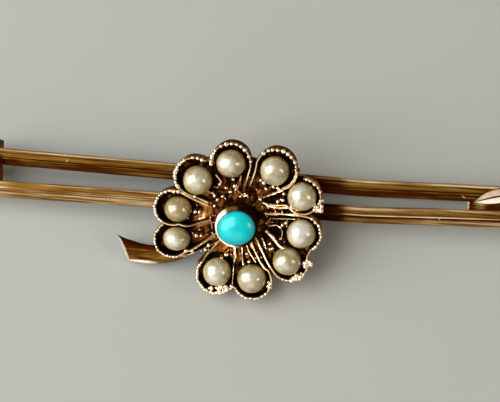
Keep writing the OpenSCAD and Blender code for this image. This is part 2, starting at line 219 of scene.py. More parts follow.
def gem(name, stops, scale, edge, roughness, ior, coat, bump):
    """An opaque polished finish, clouded with colour, with painted shade in the edge colour where
    it turns away from the eye. The attribute named tone_and_shade makes it lighter or darker
    from place to place, in its own colour and as painted shade."""
    made = bpy.data.materials.new(name)
    made.use_nodes = True
    tree = made.node_tree
    shader = tree.nodes["Principled BSDF"]
    where = node(tree, "ShaderNodeTexCoord")
    cloud = node(tree, "ShaderNodeTexNoise", in_Scale=scale, in_Detail=4.0, in_Distortion=0.6)
    pits = node(tree, "ShaderNodeTexNoise", in_Scale=scale * 6, in_Detail=2.0)
    # Lightness from place to place: the pearls' own, and painted shade and reflection.
    tone_and_shade = node(tree, "ShaderNodeAttribute", attribute_name="tone_and_shade")
    toned = node(tree, "ShaderNodeMath", operation="ADD")
    tint = ramp(tree, stops)
    # Painted shade: the colour turns to the edge colour towards the rims, away from the eye.
    turning = node(tree, "ShaderNodeLayerWeight", in_Blend=0.5)
    half = tuple(0.5 + c / 2 for c in edge)
    white = (1.0, 1.0, 1.0)
    shade = ramp(tree, [(0.0, white), (0.15, white), (0.45, half), (0.8, edge)])
    both = node(tree, "ShaderNodeMix", data_type="RGBA", blend_type="MULTIPLY")
    both.inputs["Factor"].default_value = 1.0
    relief = node(tree, "ShaderNodeBump", in_Strength=bump, in_Distance=GEM_RELIEF)
    join(tree, (where, "Object", cloud, "Vector"), (where, "Object", pits, "Vector"),
         (cloud, "Fac", toned, 0), (tone_and_shade, "Fac", toned, 1), (toned, 0, tint, "Fac"),
         (turning, "Facing", shade, "Fac"), (tint, "Color", both, "A"),
         (shade, "Color", both, "B"), (both, "Result", shader, "Base Color"),
         (pits, "Fac", relief, "Height"), (relief, "Normal", shader, "Normal"))
    shader.inputs["Roughness"].default_value = roughness
    shader.inputs["IOR"].default_value = ior
    shader.inputs["Coat Weight"].default_value = coat
    shader.inputs["Coat Roughness"].default_value = COAT_ROUGHNESS
    shader.inputs["Coat IOR"].default_value = COAT_IOR
    return made


# %% Pearl and cabochon finishes
NACRE = [(0.3, (0.25, 0.19, 0.075)), (0.5, (0.38, 0.345, 0.23)), (0.68, (0.53, 0.51, 0.44))]
BLUE = [(0.3, (0.0, 0.40, 0.41)), (0.7, (0.0, 0.56, 0.57))]
# The pearls' warm edge colour is painted shade with a painted reflection of the gold in it.
pearl_finish = gem("pearl", NACRE, scale=1000.0, edge=(0.70, 0.52, 0.17), roughness=0.3,
                   ior=1.6, coat=0.9, bump=0.9)
stone_finish = gem("turquoise", BLUE, scale=400.0, edge=(0.45, 0.5, 0.55), roughness=0.21,
                   ior=1.4, coat=0.04, bump=0.05)
print("gem finishes:", pearl_finish.name, stone_finish.name)

# %% [markdown]
# ## Strip and wire
# A goldsmith makes this brooch from strip, wire and beads. Strip and wire are a section
# carried along a path. A curve object with a bevel could do that, but its section keeps one
# shape and can't stand on a level base. So one helper gives a matrix for each point of a
# path, and another extrudes a section from matrix to matrix.

# %% Helpers for strip and wire
def smooth_path(points, step=0.12):
    """Points at even steps along a smooth curve through the given ones."""
    points = [Vector(p) for p in points]
    ends = [points[0] * 2 - points[1]] + points + [points[-1] * 2 - points[-2]]
    made = []
    for a, b, c, d in zip(ends, ends[1:], ends[2:], ends[3:]):
        count = max(1, round((c - b).length / step))
        for i in range(count):
            t = i / count
            made.append(0.5 * (2 * b + (c - a) * t + (2 * a - 5 * b + 4 * c - d) * t ** 2
                               + (3 * b - a - 3 * c + d) * t ** 3))
    return made + [points[-1]]


def stations(path, width, top, bottom):
    """One matrix for each point of a level path. It takes a section that is 1 wide and 1
    high to that place. width, top and bottom are values or functions of the point."""
    made = []
    for i, p in enumerate(path):
        along = (path[min(i + 1, len(path) - 1)] - path[max(i - 1, 0)]).normalized()
        across = Vector((-along.y, along.x, 0))
        w, t, b = (v(p) if callable(v) else v for v in (width, top, bottom))
        frame_at = Matrix((across * w, Vector((0, 0, t - b)), along)).transposed().to_4x4()
        made.append(Matrix.Translation((p.x, p.y, b)) @ frame_at)
    return made


def sweep(bm, section, places):
    """Extrudes a closed section, drawn in X and Y, through a list of matrices."""
    ring = [bm.verts.new(places[0] @ Vector((x, y, 0))) for x, y in section]
    edges = [bm.edges.new((a, b)) for a, b in zip(ring, ring[1:] + ring[:1])]
    first = edges
    for before, after in zip(places, places[1:]):
        made = bmesh.ops.extrude_edge_only(bm, edges=edges)["geom"]
        verts = [g for g in made if isinstance(g, bmesh.types.BMVert)]
        edges = [g for g in made if isinstance(g, bmesh.types.BMEdge) and g.is_boundary]
        bmesh.ops.transform(bm, matrix=after @ before.inverted(), verts=verts)
    bmesh.ops.holes_fill(bm, edges=first + edges, sides=0)


# %% [markdown]
# ## From a bmesh to a finished piece
# Wear, painted light and shade, and unevenness are set on the bmesh while it is still level,
# because a rule such as "dark below the rim" is simple there. Then it is laid down and
# becomes an object.

# %% Helpers for wear, painted shading and finished pieces
noise.seed_set(1795810126)  # noise_vector draws its offsets from the clock unless it is seeded


def hand_made(bm, amount, scale=1.5):
    """Moves each vertex a little, so that nothing is machine straight."""
    for v in bm.verts:
        v.co += noise.noise_vector(v.co * scale) * amount


def set_patina_and_shading(bm, rule, satin=lambda p: 0.0):
    """Stores how dark each vertex is, 0 for rubbed and for painted-lit metal and 1 or more for a
    deep recess, tarnish and painted shade together, and how satin it is, from 0 to 1."""
    for name, of_place, most in (("patina_and_shading", rule, 1.4), ("satin", satin, 1.0)):
        layer = bm.verts.layers.float.new(name)
        for v in bm.verts:
            v[layer] = min(max(of_place(v.co), 0.0), most)


def finish_piece(bm, name, material, slot, *nodes, sharp=40):
    """Lays the bmesh down with the brooch and makes it an object that rides on it."""
    bmesh.ops.recalc_face_normals(bm, faces=bm.faces)
    bm.transform(LAID)
    mesh = bpy.data.meshes.new(name)
    bm.to_mesh(mesh)
    bm.free()
    mesh.shade_smooth()
    mesh.set_sharp_from_angle(angle=math.radians(sharp))
    mesh.materials.append(material)
    made = bpy.data.objects.new(name, mesh)
    bpy.context.scene.collection.objects.link(made)
    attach(made, "root")
    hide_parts(*nodes)
    print(f"{name}: {len(mesh.polygons)} faces")


# %% [markdown]
# ## The flower's lobes
# Each lobe is a round cup with its own direction, reach and radius, because the flower was
# bent up by hand. One cup turned ten times would be quicker and look machine made, so each
# has a row of its own. The rows run round the flower from the cleft where the stem comes out.

# %% Places of the lobes and of their pearls
LOBE_REACH, LOBE_R, PEARL_R, PEARL_SINK = 5.3, 1.65, 1.18, 0.1
# Columns: direction in degrees, then the shares of lobe reach, lobe radius, pearl reach and
# pearl radius
LOBES = [
    (251.0, 0.93, 1.03, 0.88, 1.00), (286.0, 0.96, 1.02, 0.93, 1.02),
    (324.5, 1.01, 0.99, 0.97, 1.00), (354.0, 1.01, 0.97, 0.99, 1.02),
    (387.0, 1.085, 0.97, 1.08, 1.00), (419.0, 1.04, 1.07, 1.01, 1.03),
    (460.0, 0.955, 1.04, 0.94, 1.02), (497.0, 0.985, 1.03, 0.91, 1.01),
    (532.0, 1.05, 0.95, 0.96, 0.98), (560.0, 1.085, 0.95, 1.01, 0.96),
]
CUPS = [(turned(LOBE_REACH * reach, at), LOBE_R * size) for at, reach, size, _, _ in LOBES]
PEARL_LIFT = Vector((0, 0, FLOWER_TOP - PEARL_SINK))
PEARLS = [(turned(LOBE_REACH * reach, at) + PEARL_LIFT, PEARL_R * size)
          for at, _, _, reach, size in LOBES]
DISC_R, CLEFT_REACH, CLEFT_TURN, CLEFT_OPEN = 5.3, 3.5, 224.0, 12.0
WALL_DIP, DIP_FROM = 0.8, 4.6
print("cups:", len(CUPS), "pearls:", len(PEARLS))


# %% The scalloped edge and the walls' height
def outline(degrees, inset=0.0):
    """Distance from the flower's centre to its scalloped edge in that direction."""
    off_cleft = abs((degrees - CLEFT_TURN + 180) % 360 - 180)
    reach = CLEFT_REACH if off_cleft < CLEFT_OPEN / 2 else DISC_R
    heading = turned(1, degrees)
    for centre, radius in CUPS:
        along = centre.dot(heading)
        across2 = centre.length_squared - along ** 2
        spare = (radius - inset) ** 2 - across2
        if spare > 0 and along > 0:
            reach = max(reach, along + math.sqrt(spare))
    return reach


def wall_top(p):
    """Height of the walls: level with the rims outside, dipping towards the collet."""
    reach = math.hypot(p.x, p.y)
    return FLOWER_TOP - WALL_DIP * min(max((DIP_FROM - reach) / (DIP_FROM - COLLET_R), 0.0), 1.0)


# %% [markdown]
# ## The flower's floor
# Behind the pearls lies a sheet of gold with a hollow under each pearl. Ten booleans could
# cut the hollows, but they leave poor faces and break easily. Here a radial line is spun into
# a disc, and its vertices are drawn out to the scalloped edge and pressed down into the
# hollows.

# %% Spin and press the floor
HOLLOW_GAP, EDGE_INSET, RINGS, SPOKES = 0.1, 0.16, 90, 480


def floor_height(p):
    """Height of the floor: a hollow under each pearl, and low ripples from the graver."""
    height = FLOOR_Z + 0.10 * noise.noise(p * 1.3) + 0.05 * noise.noise(p * 4)
    for centre, radius in PEARLS:
        away = math.hypot(p.x - centre.x, p.y - centre.y)
        hollow = radius + HOLLOW_GAP
        if away < hollow:
            height = min(height, centre.z - math.sqrt(hollow ** 2 - away ** 2))
    return max(height, FLOWER_BACK + 0.1)


bm = bmesh.new()
line = [bm.verts.new((i / RINGS, 0, 0)) for i in range(RINGS + 1)]
edges = [bm.edges.new(pair) for pair in zip(line, line[1:])]
bmesh.ops.spin(bm, geom=line + edges, axis=(0, 0, 1), cent=(0, 0, 0), angle=math.tau,
               steps=SPOKES, use_merge=True)
bmesh.ops.remove_doubles(bm, verts=bm.verts, dist=1e-6)
for v in bm.verts:
    degrees = math.degrees(math.atan2(v.co.y, v.co.x))
    v.co = turned(v.co.length * outline(degrees, EDGE_INSET), degrees)
    v.co.z = floor_height(v.co)
rim = [e for e in bm.edges if e.is_boundary]
made = bmesh.ops.extrude_edge_only(bm, edges=rim)["geom"]
for v in (g for g in made if isinstance(g, bmesh.types.BMVert)):
    v.co.z = FLOWER_BACK + 0.02
bmesh.ops.holes_fill(bm, edges=[e for e in bm.edges if e.is_boundary], sides=0)

# %% [markdown]
# ## The floor's tarnish and painted light
# Black fills the cups, tarnish together with painted shade under the pearls, while the sheet
# between them is mottled and has painted highlights in a few places on the left. It could be
# painted by hand, but a rule of the place is easier to change: which cup a vertex lies in,
# how near it is to a painted highlight, and some noise.

# %% Darken and lay down the floor
# Places on the floor given painted highlights, where the light falls.
LIT = [(-3.1, 1.4), (-2.9, 1.0), (-3.2, -0.3), (-2.9, 0.0)]


def floor_patina_and_shading(p):
    """Black in the cups, tarnish with painted shade, mottled between them with painted
    highlights in a few patches, lighter towards the bottom, and paler behind.
    """
    if p.z < FLOWER_BACK + 0.05:
        return 0.35
    # Black in the cups: tarnish with painted shade under the pearls.
    if any((p - centre).to_2d().length < radius for centre, radius in CUPS):
        return 1.1 + 0.5 * noise.noise(p * 2.5)
    # Painted highlights round the lit places listed above.
    painted_highlight = max(math.exp(-((p.x - x) ** 2 + (p.y - y) ** 2) / 0.25) for x, y in LIT)
    lower = 0.3 * min(max(-1.0 - p.y, 0), 1)
    return 0.95 - lower - 0.6 * painted_highlight + 0.35 * noise.noise(p * 1.1) + 0.3 * noise.noise(p * 3.1)


set_patina_and_shading(bm, floor_patina_and_shading)
bmesh.ops.translate(bm, verts=bm.verts, vec=FLOWER)
finish_piece(bm, "flower_floor", flower_gold, "gold", "gold_frame")

# %% [markdown]
# ## The petals' walls
# Each heart-shaped petal is a strip of gold on edge: it runs out from the collet, round
# one lobe, round the next and back. Two strips stand side by side where petals meet. They
# could be cut out of one thick plate, but a section with a rounded top, swept along each
# path, has the soft rim that bent strip has.

# %% The strips' section and paths
STRIP = [
    (0.1, 0.0), (-0.3, 0.4), (-0.5, 0.72), (-0.5, 0.87), (-0.4, 0.95), (-0.18, 1.0), (0.18, 1.0),
    (0.4, 0.95), (0.5, 0.87), (0.5, 0.72), (0.6, 0.4), (0.7, 0.0),
]
RIM_T = 0.2


def arc(lobe, start, end, step=6):
    """Points round a lobe, along the middle of its rim."""
    centre, radius = CUPS[lobe]
    count = max(2, round(abs(end - start) / step))
    return [centre + turned(radius - RIM_T / 2, start + (end - start) * i / count)
            for i in range(count + 1)]


def flat(*pairs):
    """Points on the page from (x, y) pairs."""
    return [Vector((x, y, 0)) for x, y in pairs]


PETALS = {
    "lower": flat((-1.3, -1.6), (-1.88, -2.35), (-2.5, -3.05)) + arc(0, 138, 322)
    + arc(1, 208, 398) + flat((2.35, -3.75), (1.75, -3.0), (0.95, -1.65)),
    "lower_right": flat((1.38, -1.38), (2.1, -2.52), (2.8, -3.6)) + arc(2, 232, 382)
    + arc(3, 300, 455) + flat((4.3, 0.95), (3.3, 0.9), (2.1, 0.75)),
    "upper_right": flat((2.0, 1.6), (2.94, 1.6), (3.8, 1.72)) + arc(4, 228, 450),
    "top_right": flat((1.84, 2.16), (2.48, 2.46), (3.28, 2.95)) + arc(5, 295, 520)
    + flat((1.12, 4.3), (0.95, 3.7), (0.75, 3.0)),
    "top_left": flat((0.25, 2.6), (0.5, 3.7), (0.72, 4.6)) + arc(6, 8, 172) + arc(7, 60, 235)
    + flat((-4.3, 2.02), (-3.5, 1.75), (-2.6, 1.3)),
    "left": flat((-2.6, 1.05), (-3.6, 1.5), (-4.4, 1.9)) + arc(8, 62, 292)
    + flat((-4.2, -0.72), (-3.4, -0.5), (-2.4, -0.2)),
    "lower_left": arc(9, 122, 318) + flat((-3.9, -2.75), (-3.05, -2.19), (-1.8, -1.25)),
}
print("petal strips:", ", ".join(PETALS))


# %% Sweep the petals' strips
def wall_patina_and_shading(p):
    """Rubbed along the top, nearly black inside, tarnish with painted shade, and half bright on
    the outer face, darker there with depth and further up the page.
    """
    depth = wall_top(p) - p.z
    edge = outline(math.degrees(math.atan2(p.y, p.x))) - math.hypot(p.x, p.y)
    if edge < 0.12:
        return 0.12 + 0.4 * depth + 0.35 * noise.noise(p * 1.5) + 0.1 * max(p.y, 0)
    # Inside: darker with depth, tarnish together with painted shade.
    return (depth - 0.1) / 0.22 + 0.3 * noise.noise(p * 2)


bm = bmesh.new()
for path in PETALS.values():
    sweep(bm, STRIP, stations(smooth_path(path), RIM_T, wall_top, FLOWER_BACK))
hand_made(bm, 0.03)
set_patina_and_shading(bm, wall_patina_and_shading)
bmesh.ops.translate(bm, verts=bm.verts, vec=FLOWER)
finish_piece(bm, "petal_walls", flower_gold, "gold", "gold_frame")

# %% [markdown]
# ## Ridges and engraved lines
# Inside a petal a low ridge parts its two pearls, and the graver has left bright lines
# that fan out from the collet. A bump texture would look flat from the side, so they are
# thin strips too, lower than the walls.

# %% Sweep the ridges and the engraved fan
WIRE = [
    (-0.5, 0.0), (-0.5, 0.8), (-0.4, 0.92), (-0.15, 1.0),
    (0.15, 1.0), (0.4, 0.92), (0.5, 0.8), (0.5, 0.0),
]
# Columns: width, height over the walls' top, path
RIDGES = [
    (0.30, 0.0, flat((-0.25, -2.2), (-0.2, -2.9), (-0.2, -3.5))),
    (0.12, 0.0, flat((-0.2, -3.5), (-0.2, -4.5), (-0.2, -5.7))),
    (0.15, 0.0, flat((0.3, -2.0), (0.45, -3.0), (0.55, -3.7))),
    (0.13, 0.1, flat((0.65, -1.9), (1.0, -2.6), (1.6, -3.35))),
    (0.15, 0.1, flat((0.9, -1.85), (1.5, -2.55), (2.05, -3.4))),
    (0.18, 0.0, flat((1.95, -1.35), (2.2, -1.8), (2.4, -2.2))),
    (0.27, 0.2, flat((2.25, -0.7), (2.95, -1.2), (3.6, -1.8), (4.3, -1.95))),
    (0.16, 0.1, flat((2.6, -1.05), (3.1, -1.5), (3.6, -1.95))),
    (0.19, 0.2, flat((1.9, 1.7), (2.75, 1.45), (3.35, 1.45), (3.95, 1.55))),
    (0.14, 0.1, flat((2.0, 0.7), (3.0, 0.8), (4.2, 1.05), (5.0, 1.0))),
    (0.11, 0.0, flat((2.5, 0.35), (3.8, 0.55), (5.0, 0.7))),
    (0.15, 0.0, flat((2.4, -0.3), (3.2, -0.15), (3.6, -0.5), (3.6, -1.2))),
    (0.30, -0.1, flat((0.0, 3.9), (-0.15, 3.2), (-0.35, 2.6))),
    (0.22, 0.15, flat((-0.4, 2.6), (-0.05, 2.3), (0.3, 2.0))),
    (0.20, 0.0, flat((-2.05, 3.85), (-1.65, 3.25), (-1.75, 2.85))),
    (0.18, 0.0, flat((-2.75, 2.4), (-2.15, 2.05))),
    (0.14, 0.0, flat((-1.7, -2.0), (-3.0, -2.65), (-4.1, -3.2))),
    (0.14, 0.1, flat((-1.85, -1.5), (-2.8, -2.1), (-3.85, -2.85))),
    (0.12, 0.0, flat((-2.4, 0.1), (-2.3, -0.5), (-2.2, -1.0))),
    (0.26, 0.12, flat((4.55, 4.6), (4.5, 4.1), (4.0, 3.4), (2.9, 2.7), (1.9, 2.15))),
]
bm = bmesh.new()
for width, lift, path in RIDGES:
    uneven = lambda p: width * (1 + 0.5 * noise.noise(p * 2.5))
    raised = lambda p: wall_top(p) + lift - 0.05
    sweep(bm, WIRE, stations(smooth_path(path), uneven, raised, FLOOR_Z - 0.3))
hand_made(bm, 0.05, 4)
# Darker below their tops: tarnish and painted shade.
set_patina_and_shading(bm, lambda p: (wall_top(p) - p.z - 0.1) / 0.2)
bmesh.ops.translate(bm, verts=bm.verts, vec=FLOWER)
finish_piece(bm, "ridges", flower_gold, "gold", "gold_frame")

# %% [markdown]
# ## Beaded rims
# A knurled wheel rolled along the rims leaves a row of tiny beads, called millegrain, now
# worn to bright dots. Where the metal has run together, a cluster of beads stands for it.
# They could be instances of one bead, but worn beads differ, so each is a small sphere of
# its own, few-sided because there are so many. A seeded dice makes the same rows every time.

# %% Set the beads along the rims
dice = random.Random(7)
BEADS_IN_CLUSTER = 6
# Columns: lobe, first and last direction, bead radius, spacing
BEAD_ROWS = [
    (0, 140, 250, 0.16, 0.25), (0, 250, 318, 0.18, 0.30), (1, 212, 300, 0.13, 0.36),
    (1, 300, 372, 0.15, 0.36), (2, 250, 350, 0.14, 0.34), (2, 350, 380, 0.16, 0.40),
    (3, 302, 400, 0.15, 0.34), (3, 400, 440, 0.14, 0.42), (4, 310, 370, 0.18, 0.34),
    (4, 370, 452, 0.17, 0.44), (5, -40, 20, 0.11, 0.24), (5, 20, 150, 0.18, 0.45),
    (6, 0, 40, 0.15, 0.42), (6, 40, 140, 0.18, 0.44), (6, 140, 200, 0.17, 0.26),
    (7, 62, 120, 0.18, 0.45), (7, 120, 232, 0.18, 0.28), (8, 66, 125, 0.16, 0.38),
    (8, 125, 246, 0.15, 0.26), (9, 140, 300, 0.12, 0.3),
]
# Columns: x, y, radius
CLUSTERS = [
    (6.6, 1.75, 0.36), (6.2, 2.0, 0.24), (6.35, 1.6, 0.25), (6.75, 2.3, 0.2),
    (5.95, -3.15, 0.4), (5.7, -3.1, 0.22), (5.2, -4.25, 0.34), (4.8, -4.5, 0.28),
    (5.5, -4.0, 0.2), (-1.1, -5.85, 0.34), (-1.5, -5.95, 0.28), (-0.8, -5.7, 0.25),
    (-2.0, -5.9, 0.2), (-0.3, -5.6, 0.22), (2.75, -5.1, 0.25), (2.9, -5.4, 0.2),
    (4.4, 1.7, 0.26), (4.2, 2.0, 0.2), (4.8, 1.5, 0.2),
]


def bead(bm, at, radius):
    """A few-sided sphere."""
    bmesh.ops.create_uvsphere(bm, u_segments=8, v_segments=5, radius=radius,
                              matrix=Matrix.Translation(at))


bm = bmesh.new()
count = 0
for lobe, start, end, size, spacing in BEAD_ROWS:
    centre, radius = CUPS[lobe]
    pitch = math.degrees(spacing / radius)
    for i in range(int((end - start) / pitch)):
        inward = 0.12 + dice.uniform(-0.04, 0.04)
        at = centre + turned(radius - inward, start + (i + dice.uniform(0.3, 0.7)) * pitch)
        at.z = FLOWER_TOP + dice.uniform(-0.06, 0.02)
        bead(bm, at, size * dice.uniform(0.75, 1.15))
        count += 1
for x, y, size in CLUSTERS:
    for _ in range(BEADS_IN_CLUSTER):
        at = Vector((x, y, FLOWER_TOP - 0.08)) + turned(size * 0.6, dice.uniform(0, 360))
        at.z += dice.uniform(-0.1, 0.05)
        bead(bm, at, size * dice.uniform(0.45, 0.75))
hand_made(bm, 0.04, 5)
# Darker below the rims' top: tarnish and painted shade under the beads.
set_patina_and_shading(bm, lambda p: (FLOWER_TOP - 0.02 - p.z) * 5)
bmesh.ops.translate(bm, verts=bm.verts, vec=FLOWER)
finish_piece(bm, "millegrain", bead_gold, "gold", "gold_frame", sharp=180)
print("beads on the rims:", count)

# %% [markdown]
# ## Grains between the pearls
# The setter raises grains from the floor and pushes them over each pearl to hold it. The
# floor's mesh is too coarse to be drawn up into them, so a grain is a bead on a stalk. The
# graver's crumbs are smaller grains, thrown where no pearl lies.

# %% Raise the grains that hold the pearls
CRUMBS, STALK_FOOT = 90, FLOOR_Z - 0.2
GRAINS = [
    (-3.7, 1.85), (-2.15, 1.95), (-2.1, 1.05), (-3.65, 0.5), (-3.3, 0.5), (-0.65, 3.5),
    (-1.75, 2.95), (0.0, 1.95), (1.9, 3.45), (1.65, 3.65), (2.1, 2.95), (2.7, 3.2),
    (3.1, 3.15), (1.65, 1.9), (3.55, 2.15), (3.6, 2.7), (3.15, 1.95), (3.6, -0.05),
    (3.9, 0.2), (2.35, 1.35), (2.7, -2.2), (2.9, -2.1), (2.65, -1.75), (0.8, -2.8),
    (1.05, -3.4), (-0.9, -3.0), (-1.3, -3.3), (-2.4, -2.3), (-2.65, -2.65), (-3.05, -1.5),
    (-3.45, -1.5), (-4.2, -2.8), (-3.7, -2.75), (-1.5, 1.9), (-0.85, 2.35), (-1.9, 1.6),
    (-0.4, 2.6), (0.45, 2.1), (-1.2, 2.7), (-0.5, 2.9),
]


def grain(bm, x, y, radius, height):
    """A bead on a small stalk that widens down into the floor."""
    bead(bm, Vector((x, y, height)), radius)
    middle = Matrix.Translation((x, y, (height + STALK_FOOT) / 2))
    bmesh.ops.create_cone(bm, cap_ends=True, segments=8, radius1=radius * 1.5,
                          radius2=radius * 0.8, depth=height - STALK_FOOT, matrix=middle)


bm = bmesh.new()
for x, y in GRAINS:
    grain(bm, x, y, dice.uniform(0.14, 0.2), wall_top(Vector((x, y, 0))) - 0.1)
crumbs = 0
while crumbs < CRUMBS:
    p = turned(dice.uniform(2.0, 4.3), dice.uniform(0, 360))
    if all((p - centre).to_2d().length > radius * 0.95 for centre, radius in PEARLS):
        grain(bm, p.x, p.y, dice.uniform(0.05, 0.1), wall_top(p) - dice.uniform(0.1, 0.35))
        crumbs += 1
hand_made(bm, 0.05, 3)
# Darker further down: tarnish and painted shade.
set_patina_and_shading(bm, lambda p: (wall_top(p) - p.z) * 1.6)
bmesh.ops.translate(bm, verts=bm.verts, vec=FLOWER)
finish_piece(bm, "grains", bead_gold, "gold", "gold_frame", sharp=60)
print("grains:", len(GRAINS), "crumbs:", crumbs)

# %% [markdown]
# ## Collet and cabochon
# The collet is a flared tube whose lip is pressed over the stone, and the stone is a dome.
# Cylinders and spheres could be joined and bevelled, but a profile spun round the flower's
# axis gives tube, lip and seat at once. Both are then drawn slightly oval, because the stone
# was cut by eye.

# %% Helpers for round pieces
OVAL, FLATTER, FLAT_SIDE = 0.94, 0.07, math.radians(140)


def spun(profile, steps):
    """A bmesh of a profile, given as (radius, height) pairs, spun round the vertical axis."""
    bm = bmesh.new()
    line = [bm.verts.new((r, 0, z)) for r, z in profile]
    edges = [bm.edges.new(pair) for pair in zip(line, line[1:])]
    bmesh.ops.spin(bm, geom=line + edges, axis=(0, 0, 1), cent=(0, 0, 0), angle=math.tau,
                   steps=steps, use_merge=True)
    bmesh.ops.remove_doubles(bm, verts=bm.verts, dist=1e-5)
    return bm


def drawn_oval(bm, reach):
    """Presses what lies within reach of the axis into the stone's oval, flat at upper left."""
    for v in bm.verts:
        if math.hypot(v.co.x, v.co.y) < reach:
            lean = max(math.cos(math.atan2(v.co.y, v.co.x) - FLAT_SIDE), 0) ** 4
            v.co.x *= 1 - FLATTER * lean
            v.co.y = v.co.y * OVAL * (1 - FLATTER * lean) - 0.08


# %% Spin the collet
# The direction of the lip's painted light: the left, where the key light stands.
LIT_SIDE, LIP_R = math.radians(195), 1.65
lip = COLLET_TOP


def collet_patina_and_shading(p):
    """Painted light on the left of the lip, painted shade on its right, and black down its
    wall, tarnish with painted shade.
    """
    side = 0.5 - 0.5 * math.cos(math.atan2(p.y, p.x) - LIT_SIDE)
    return 2.4 * (side - 0.13) + 1.8 * (COLLET_TOP - 0.1 - p.z) + 0.3 * noise.noise(p * 2)


bm = spun([(0.0, 1.6), (1.5, 1.6), (1.56, 1.9), (1.6, 2.6), (1.66, lip - 0.9),
           (1.72, lip - 0.4), (1.77, lip - 0.1), (1.76, lip + 0.02), (1.7, lip + 0.09),
           (1.62, lip + 0.08), (1.57, lip), (1.58, lip - 0.2), (1.58, lip - 0.32),
           (0.0, lip - 0.32)], 120)
drawn_oval(bm, LIP_R)
hand_made(bm, 0.035, 2)
set_patina_and_shading(bm, collet_patina_and_shading, lambda p: 0.8 if p.z > COLLET_TOP - 0.15 else 0.0)
bmesh.ops.translate(bm, verts=bm.verts, vec=FLOWER)
finish_piece(bm, "collet", collet_gold, "gold", "gold_frame")

# %% Spin the cabochon
dome = [(0.0, STONE_BASE), (STONE_R - 0.05, STONE_BASE), (STONE_R, STONE_BASE + 0.06),
        (STONE_R, STONE_BASE + 0.22)]
for t in range(17):
    rise = t / 16 * math.pi / 2
    dome.append((STONE_R * math.cos(rise), STONE_BASE + 0.3 + STONE_DOME * math.sin(rise)))
bm = spun(dome, 96)
drawn_oval(bm, STONE_R + 1)
bmesh.ops.translate(bm, verts=bm.verts, vec=FLOWER)
finish_piece(bm, "cabochon_stone", stone_finish, "turquoise", "cabochon", sharp=60)

# %% [markdown]
# ## Pearls
# Natural seed pearls are never quite round. At this size slow noise that pushes each sphere
# in and out does as well as sculpting. Three are flatter across the page. Their right and
# upper sides are painted a little warmer and darker, a painted reflection of the gold on the
# right and painted shade above, and the whole pearl at the left is warmer and darker in its
# own colour.

# %% Round the pearls
PEARL_UNEVEN = 0.03
FLATTENED = {6: 0.93, 8: 0.92, 9: 0.86}
TONES = {0: -0.03, 1: -0.07, 2: -0.06, 3: 0.08, 4: 0.03, 5: -0.03, 8: -0.32, 9: -0.03}
for i, (centre, radius) in enumerate(PEARLS):
    bm = bmesh.new()
    bmesh.ops.create_uvsphere(bm, u_segments=48, v_segments=32, radius=1.0)
    tone_and_shade = bm.verts.layers.float.new("tone_and_shade")
    for v in bm.verts:
        # Each pearl's own lightness, with painted shade above and a painted reflection of the gold
        # on the right.
        v[tone_and_shade] = TONES.get(i, 0.0) - 0.1 * v.co.x - 0.06 * v.co.y
        v.co *= radius * (1 + PEARL_UNEVEN * noise.noise(v.co * 1.4 + Vector((i * 7.0, 0, 0))))
        v.co.y *= FLATTENED.get(i, 1.0)
    bmesh.ops.translate(bm, verts=bm.verts, vec=centre + FLOWER)
    finish_piece(bm, f"seed_pearl_{i + 1}", pearl_finish, "pearl", f"pearl_{i + 1}", sharp=180)

# %% [markdown]
# ## Bars
# Each bar is a drawn strip with two sloping flanges and a low ridge. A bevelled box has no
# ridge, so the strip's section is swept from end to end, with the slight bend to the right
# of the flower. The upper bar's ridge sits a little lower on its strip and the lower bar's a
# little higher.

# %% The bars' course and section
BAR_W, BAR_TOP, SPREAD_LEFT, SPREAD_RIGHT = 1.32, 0.84, 2.86, 2.05
BEND_X, BEND_TURN = 10.2, math.radians(2.5)
RIDGE_AT = {1: -0.04, -1: 0.035}


def bar_y(x, side):
    """Height on the page of a bar's centre line at x."""
    spread = SPREAD_LEFT + (SPREAD_RIGHT - SPREAD_LEFT) * (x + BAR_LEFT) / (BAR_LEFT + BAR_RIGHT)
    return max(x - BEND_X, 0) * math.tan(BEND_TURN) + side * spread / 2


def bar_section(ridge_at):
    """The strip's section, with the ridge that far from its middle."""
    low = [(-0.54, 0.0), (-0.54, 0.36), (-0.51, 0.43), (-0.46, 0.46), (-0.3, 0.49)]
    ridge = [(-0.16, 0.52), (-0.14, 0.53), (-0.07, 0.55), (-0.05, 0.66), (-0.035, 0.78),
             (0.0, 0.8), (0.035, 0.78), (0.05, 0.66), (0.08, 0.56)]
    high = [(0.2, 0.55), (0.3, 0.53), (0.4, 0.5), (0.46, 0.48), (0.5, 0.42), (0.5, 0.0)]
    return low + [(x + ridge_at, y) for x, y in ridge] + high


print("bars apart, in mm:", [round(bar_y(x, 1) - bar_y(x, -1), 2) for x in (-BAR_LEFT, BAR_RIGHT)])

# %% [markdown]
# ## The bars' light, shade and wear
# Along each bar run bands of light and dark, mostly painted light and shade: a painted
# highlight along the rubbed upper edge, a dull flange, painted shade beside the ridge and, on
# the lower bar, a satin lower flange painted lighter. Noise alone would blotch them. So a few
# stops across the strip, (place, darkness), say how dark each band is, for each bar to the
# left and to the right of the flower.

